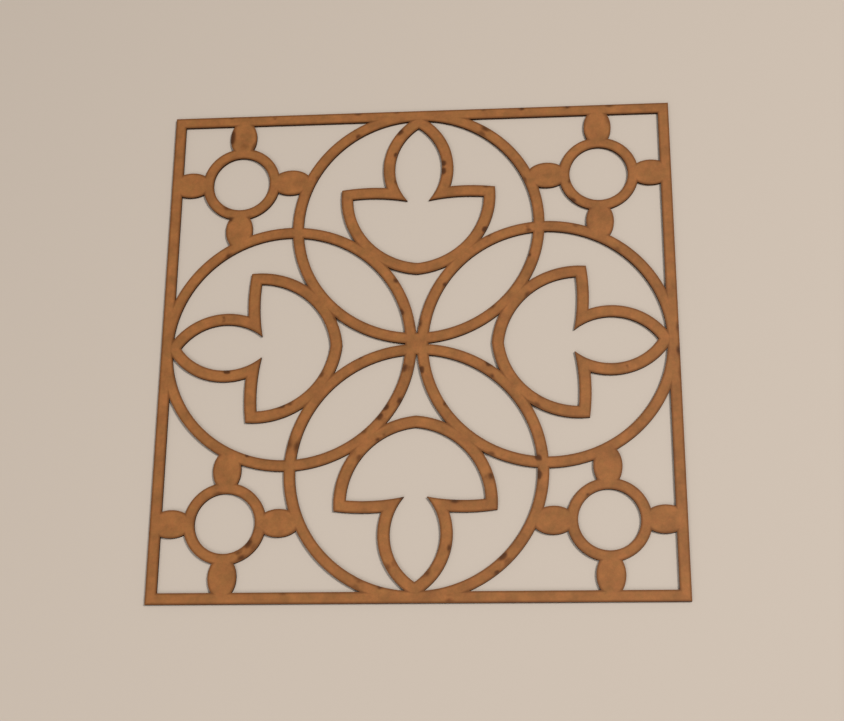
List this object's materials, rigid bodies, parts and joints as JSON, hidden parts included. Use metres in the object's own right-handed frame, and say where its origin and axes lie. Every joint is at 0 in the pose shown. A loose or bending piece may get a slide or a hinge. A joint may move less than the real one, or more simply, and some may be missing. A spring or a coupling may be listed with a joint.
{
  "type": "wooden jali wall panel",
  "caption": "Square fretwork jali panel: a thin frame holding large crossing rings, a tulip outline in each, and small corner rings on oval bosses.",
  "frame": {"origin": "centre of the square panel, on its back face, which lies on the surface", "axes": "+X to the panel's right, +Y towards its top edge, +Z out of its front face"},
  "size_m": [0.45, 0.45, 0.003],
  "materials": {
    "board": "unfinished wood-fibre board, charred on its cut walls"
  },
  "bodies": {
    "root": {"rail_top": "board", "rail_bottom": "board", "rail_left": "board", "rail_right": "board", "ring_top": "board", "ring_bottom": "board", "ring_left": "board", "ring_right": "board", "tulip_top": "board", "tulip_bottom": "board", "tulip_left": "board", "tulip_right": "board", "corner_ring_top_left": "board", "corner_ring_top_right": "board", "corner_ring_bottom_left": "board", "corner_ring_bottom_right": "board", "boss_top_left_top": "board", "boss_top_left_bottom": "board", "boss_top_left_left": "board", "boss_top_left_right": "board", "boss_top_right_top": "board", "boss_top_right_bottom": "board", "boss_top_right_left": "board", "boss_top_right_right": "board", "boss_bottom_left_top": "board", "boss_bottom_left_bottom": "board", "boss_bottom_left_left": "board", "boss_bottom_left_right": "board", "boss_bottom_right_top": "board", "boss_bottom_right_bottom": "board", "boss_bottom_right_left": "board", "boss_bottom_right_right": "board"}
  },
  "joints": []
}
